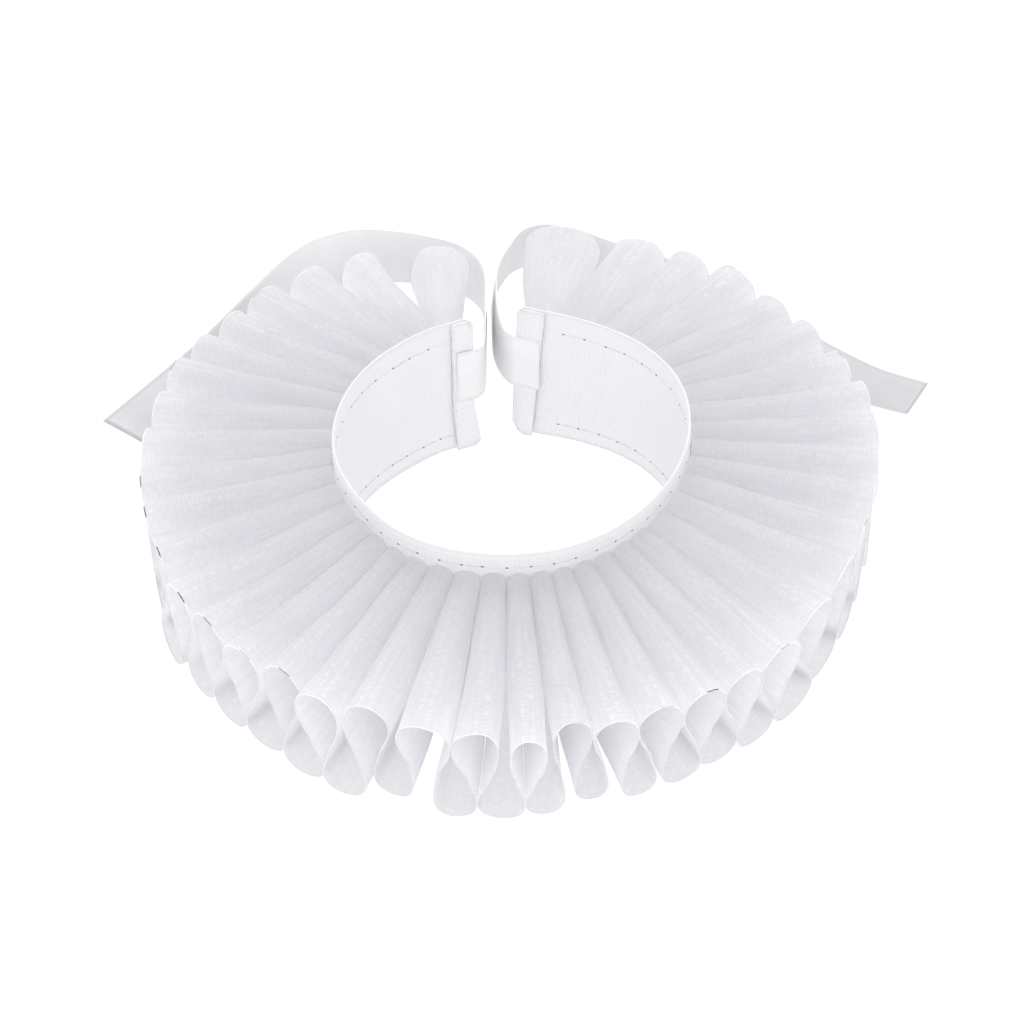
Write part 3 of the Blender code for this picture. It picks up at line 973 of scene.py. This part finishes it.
def grosgrainFinish():
    look = grosgrainLook
    f = Finish("grosgrainRibbon")
    uv, along, _across = f.flatPlace()
    rib = f.ribs(along, look["rib"])
    uneven = f.cloud(uv, (900.0, 60.0, 1.0), 2.0, 0.5)
    cloudy = f.cloud(uv, (45.0, 30.0, 1.0), 2.0, 0.6)
    colour = f.tint(f.between(cloudy, 0.3, 0.7), look["shade"], look["light"])
    # painted shade: the grooves between the ribs are painted darker
    colour = f.tint(f.between(rib, -1.0, -0.3), look["grooveShade"], colour)
    height = rib * 0.7 + uneven * 0.7
    f.surface(
        Base_Color=colour, Roughness=0.60 + cloudy * 0.12, Normal=f.bump(height, 0.42, 0.00016))
    return f.material


satinLook = {
    "uprightShade": (0.850, 0.850, 0.860, 1.0), "uprightLight": (0.885, 0.885, 0.893, 1.0),
    "flatShade": (0.535, 0.530, 0.555, 1.0), "flatLight": (0.565, 0.560, 0.582, 1.0),
    "edge": (0.90, 0.90, 0.91, 1.0),
    "edgeFrom": 0.0090, "edgeTo": 0.0094,
}


def satinFinish():
    look = satinLook
    f = Finish("satinRibbon")
    uv, _along, across = f.flatPlace()
    floats = f.cloud(uv, (60.0, 5200.0, 1.0), 1.0, 0.6)
    cloudy = f.cloud(uv, (50.0, 70.0, 1.0), 2.0, 0.55)
    edge = f.between(across.size(), look["edgeFrom"], look["edgeTo"])
    lying, _none, _rest = f.mark()
    # painted shade: satin that lies flat gets more light from above, so it is painted in a darker tone
    # than upright satin
    upright = f.tint(f.between(cloudy, 0.3, 0.7), look["uprightShade"], look["uprightLight"])
    flat = f.tint(f.between(cloudy, 0.3, 0.7), look["flatShade"], look["flatLight"])
    colour = f.tint(f.between(lying, 0.45, 1.0), upright, flat)
    colour = f.tint(edge * 0.5, colour, look["edge"])
    height = floats * 0.6 + cloudy * 1.2 + edge * 1.2
    f.surface(
        Base_Color=colour, Roughness=0.27 + floats * 0.14 + edge * 0.2,
        Normal=f.bump(height, 0.35, 0.00015), Anisotropic=0.5, Sheen_Weight=0.1)
    return f.material


threadLook = {
    "shade": (0.70, 0.70, 0.74, 1.0), "light": (0.86, 0.86, 0.88, 1.0),
    "dip": (0.10, 0.10, 0.12, 1.0),
    "twist": 0.0006,
}


def threadFinish():
    look = threadLook
    f = Finish("sewingThread")
    dip, own, _rest = f.mark()
    _uv, along, across = f.flatPlace()
    twist = f.ribs(along + across * 2.0, look["twist"])
    plain = f.tint(f.between(own, -0.4, 0.4), look["shade"], look["light"])
    # painted shade: the dots where the thread dips in are painted nearly black for the shadow in the
    # needle hole
    colour = f.tint(dip, plain, look["dip"])
    f.surface(Base_Color=colour, Roughness=0.5, Normal=f.bump(twist, 0.3, 0.0001))
    return f.material


materials = {
    "organza": organzaFinish(), "hem": hemFinish(), "grosgrain": grosgrainFinish(),
    "satin": satinFinish(), "thread": threadFinish(),
}
for piece, finish in (
    (ruffleCloth, "organza"), (ruffleHem, "hem"), (bandCloth, "grosgrain"), (tieRight, "satin"),
    (tieLeft, "satin"), (bandStitches, "thread"), (bandHoleShades, "thread"), (hemStitches, "thread"),
):
    piece.data.materials.append(materials[finish])
print("materials made")


studio = {
    "floorSize": 3.0,
    "floorGap": 0.0003,       # metres below the collar's foot
    "floorShade": 0.12,
    "floorGlow": 0.94,
    "air": 1.0,
    # azimuth (0 is the front, 90 the right), elevation, size in metres, power
    "lights": {
        "backLeftLight": (202, 39, 0.22, 2.6),
        "backRightLight": (158, 39, 0.22, 2.6),
        "frontLight": (0, 16, 1.8, 5.0),
    },
    "lightDistance": 1.4,
}


def addStudio():
    world = bpy.data.worlds.new("studioAir")
    bpy.context.scene.world = world
    world.use_nodes = True
    back = world.node_tree.nodes["Background"]
    back.inputs["Color"].default_value = (1.0, 1.0, 1.0, 1.0)
    back.inputs["Strength"].default_value = studio["air"]
    bpy.ops.mesh.primitive_plane_add(size=studio["floorSize"], location=(0.0, 0.0, -studio["floorGap"]))
    floor = bpy.context.object
    floor.name = "floor"
    pale = Finish("paleFloor")
    shade = studio["floorShade"]
    pale.surface(Base_Color=(shade, shade, shade, 1.0), Roughness=0.9)
    pale.surface(Emission_Color=(1.0, 1.0, 1.0, 1.0), Emission_Strength=studio["floorGlow"])
    floor.data.materials.append(pale.material)
    for name, (azimuth, elevation, size, power) in studio["lights"].items():
        a, e = math.radians(azimuth), math.radians(elevation)
        way = Vector((math.sin(a) * math.cos(e), -math.cos(a) * math.cos(e), math.sin(e)))
        bpy.ops.object.light_add(type="AREA", location=way * studio["lightDistance"])
        lamp = bpy.context.object
        lamp.name = name
        lamp.data.size = size
        lamp.data.energy = power
        lamp.rotation_euler = way.to_track_quat("Z", "Y").to_euler()
    bpy.context.scene.view_settings.view_transform = "Standard"


addStudio()
print("studio made")


for piece in (ruffleCloth, ruffleHem, bandCloth, tieRight, tieLeft, bandStitches, bandHoleShades, hemStitches):
    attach(piece, "root")
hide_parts("ruffle")
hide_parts("neckband")
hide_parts("tie_right")
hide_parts("tie_left")
